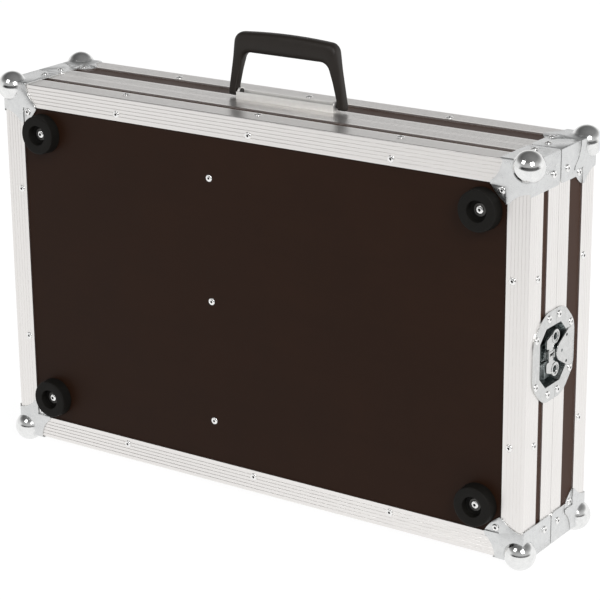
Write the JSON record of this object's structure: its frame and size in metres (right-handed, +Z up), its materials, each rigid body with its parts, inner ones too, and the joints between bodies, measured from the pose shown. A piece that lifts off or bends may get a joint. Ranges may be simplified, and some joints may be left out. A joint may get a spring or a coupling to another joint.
{
  "type": "lighting controller flight case",
  "caption": "Shallow flight case: brown film-faced board in grooved aluminium edges, steel ball corners, recessed turn latches, rubber feet, folding handle and lift-off lid",
  "frame": {"origin": "centre of the bounding box, at its bottom", "axes": "+Z up as the case stands on its long side under the handle side, +X along the long side, -Y out of the panel with the feet, +Y towards the lid"},
  "size_m": [0.806, 0.181, 0.592],
  "materials": {
    "brown_board": "dark brown phenolic film on birch plywood, satin",
    "aluminium": "natural extruded aluminium, finely grooved, satin",
    "corner_steel": "bright plated pressed steel",
    "latch_steel": "bright plated pressed steel",
    "bracket_steel": "zinc plated steel",
    "rivet_metal": "bright blind rivets with a dark mandrel dimple",
    "foot_rubber": "matt black moulded rubber",
    "grip_plastic": "satin black moulded plastic",
    "foam": "dark grey open-cell foam"
  },
  "bodies": {
    "base": {"base_ball_corners": "corner_steel", "base_corner_posts": "aluminium", "base_edge_bottom": "aluminium", "base_edge_left": "aluminium", "base_edge_right": "aluminium", "base_edge_top": "aluminium", "base_foam": "foam", "base_latch_rivets": "rivet_metal", "base_panel": "brown_board", "base_rim_bottom": "aluminium", "base_rim_left": "aluminium", "base_rim_right": "aluminium", "base_rim_top": "aluminium", "base_rivets": "rivet_metal", "base_wall_bottom": "brown_board", "base_wall_left": "brown_board", "base_wall_right": "brown_board", "base_wall_top": "brown_board", "divider": "brown_board", "divider_rivets": "rivet_metal", "foot_rivets": "rivet_metal", "foot_washers": "rivet_metal", "latch_dish_left": "latch_steel", "latch_dish_right": "latch_steel", "rubber_feet": "foot_rubber"},
    "lid": {"handle_bracket": "bracket_steel", "handle_bracket_rivets": "rivet_metal", "handle_pins": "bracket_steel", "keeper_dish_left": "latch_steel", "keeper_dish_right": "latch_steel", "lid_ball_corners": "corner_steel", "lid_corner_braces": "corner_steel", "lid_corner_posts": "aluminium", "lid_edge_bottom": "aluminium", "lid_edge_left": "aluminium", "lid_edge_right": "aluminium", "lid_edge_top": "aluminium", "lid_foam": "foam", "lid_latch_rivets": "rivet_metal", "lid_panel": "brown_board", "lid_rim_bottom": "aluminium", "lid_rim_left": "aluminium", "lid_rim_right": "aluminium", "lid_rim_top": "aluminium", "lid_rivets": "rivet_metal", "lid_wall_bottom": "brown_board", "lid_wall_left": "brown_board", "lid_wall_right": "brown_board", "lid_wall_top": "brown_board"},
    "handle": {"handle_grip": "grip_plastic"},
    "spindle_right": {"latch_spindle_right": "latch_steel", "wing_pins_right": "latch_steel"},
    "hook_right": {"latch_hook_right": "latch_steel"},
    "upper_right": {"wing_upper_right": "latch_steel"},
    "lower_right": {"wing_lower_right": "latch_steel"},
    "spindle_left": {"latch_spindle_left": "latch_steel", "wing_pins_left": "latch_steel"},
    "hook_left": {"latch_hook_left": "latch_steel"},
    "upper_left": {"wing_upper_left": "latch_steel"},
    "lower_left": {"wing_lower_left": "latch_steel"}
  },
  "joints": [
    {"name": "lid_lift", "type": "slide", "parent": "base", "child": "lid", "axis": [0, 1, 0], "range_m": [0, 0.15]},
    {"name": "handle_fold", "type": "hinge", "parent": "lid", "child": "handle", "pos_m": [0, 0.0095, 0.512], "axis": [1, 0, 0], "range_deg": [-80, 80]},
    {"name": "latch_turn_right", "type": "hinge", "parent": "base", "child": "spindle_right", "pos_m": [0.391, -0.017, 0.258], "axis": [1, 0, 0], "range_deg": [0, 180]},
    {"name": "hook_draw_right", "type": "slide", "parent": "base", "child": "hook_right", "axis": [0.6, 0.8, 0], "range_m": [0, 0.005]},
    {"name": "wing_upper_lift_right", "type": "hinge", "parent": "spindle_right", "child": "upper_right", "pos_m": [0.3895, -0.017, 0.261], "axis": [0, 1, 0], "range_deg": [0, 90]},
    {"name": "wing_lower_lift_right", "type": "hinge", "parent": "spindle_right", "child": "lower_right", "pos_m": [0.3895, -0.017, 0.255], "axis": [0, -1, 0], "range_deg": [0, 90]},
    {"name": "latch_turn_left", "type": "hinge", "parent": "base", "child": "spindle_left", "pos_m": [-0.391, -0.017, 0.258], "axis": [-1, 0, 0], "range_deg": [0, 180]},
    {"name": "hook_draw_left", "type": "slide", "parent": "base", "child": "hook_left", "axis": [-0.6, 0.8, 0], "range_m": [0, 0.005]},
    {"name": "wing_upper_lift_left", "type": "hinge", "parent": "spindle_left", "child": "upper_left", "pos_m": [-0.3895, -0.017, 0.261], "axis": [0, -1, 0], "range_deg": [0, 90]},
    {"name": "wing_lower_lift_left", "type": "hinge", "parent": "spindle_left", "child": "lower_left", "pos_m": [-0.3895, -0.017, 0.255], "axis": [0, 1, 0], "range_deg": [0, 90]}
  ],
  "couplings": [
    {"joint": "hook_draw_right", "follows": "latch_turn_right", "m_per_rad": 0.0015915},
    {"joint": "hook_draw_left", "follows": "latch_turn_left", "m_per_rad": 0.0015915}
  ]
}
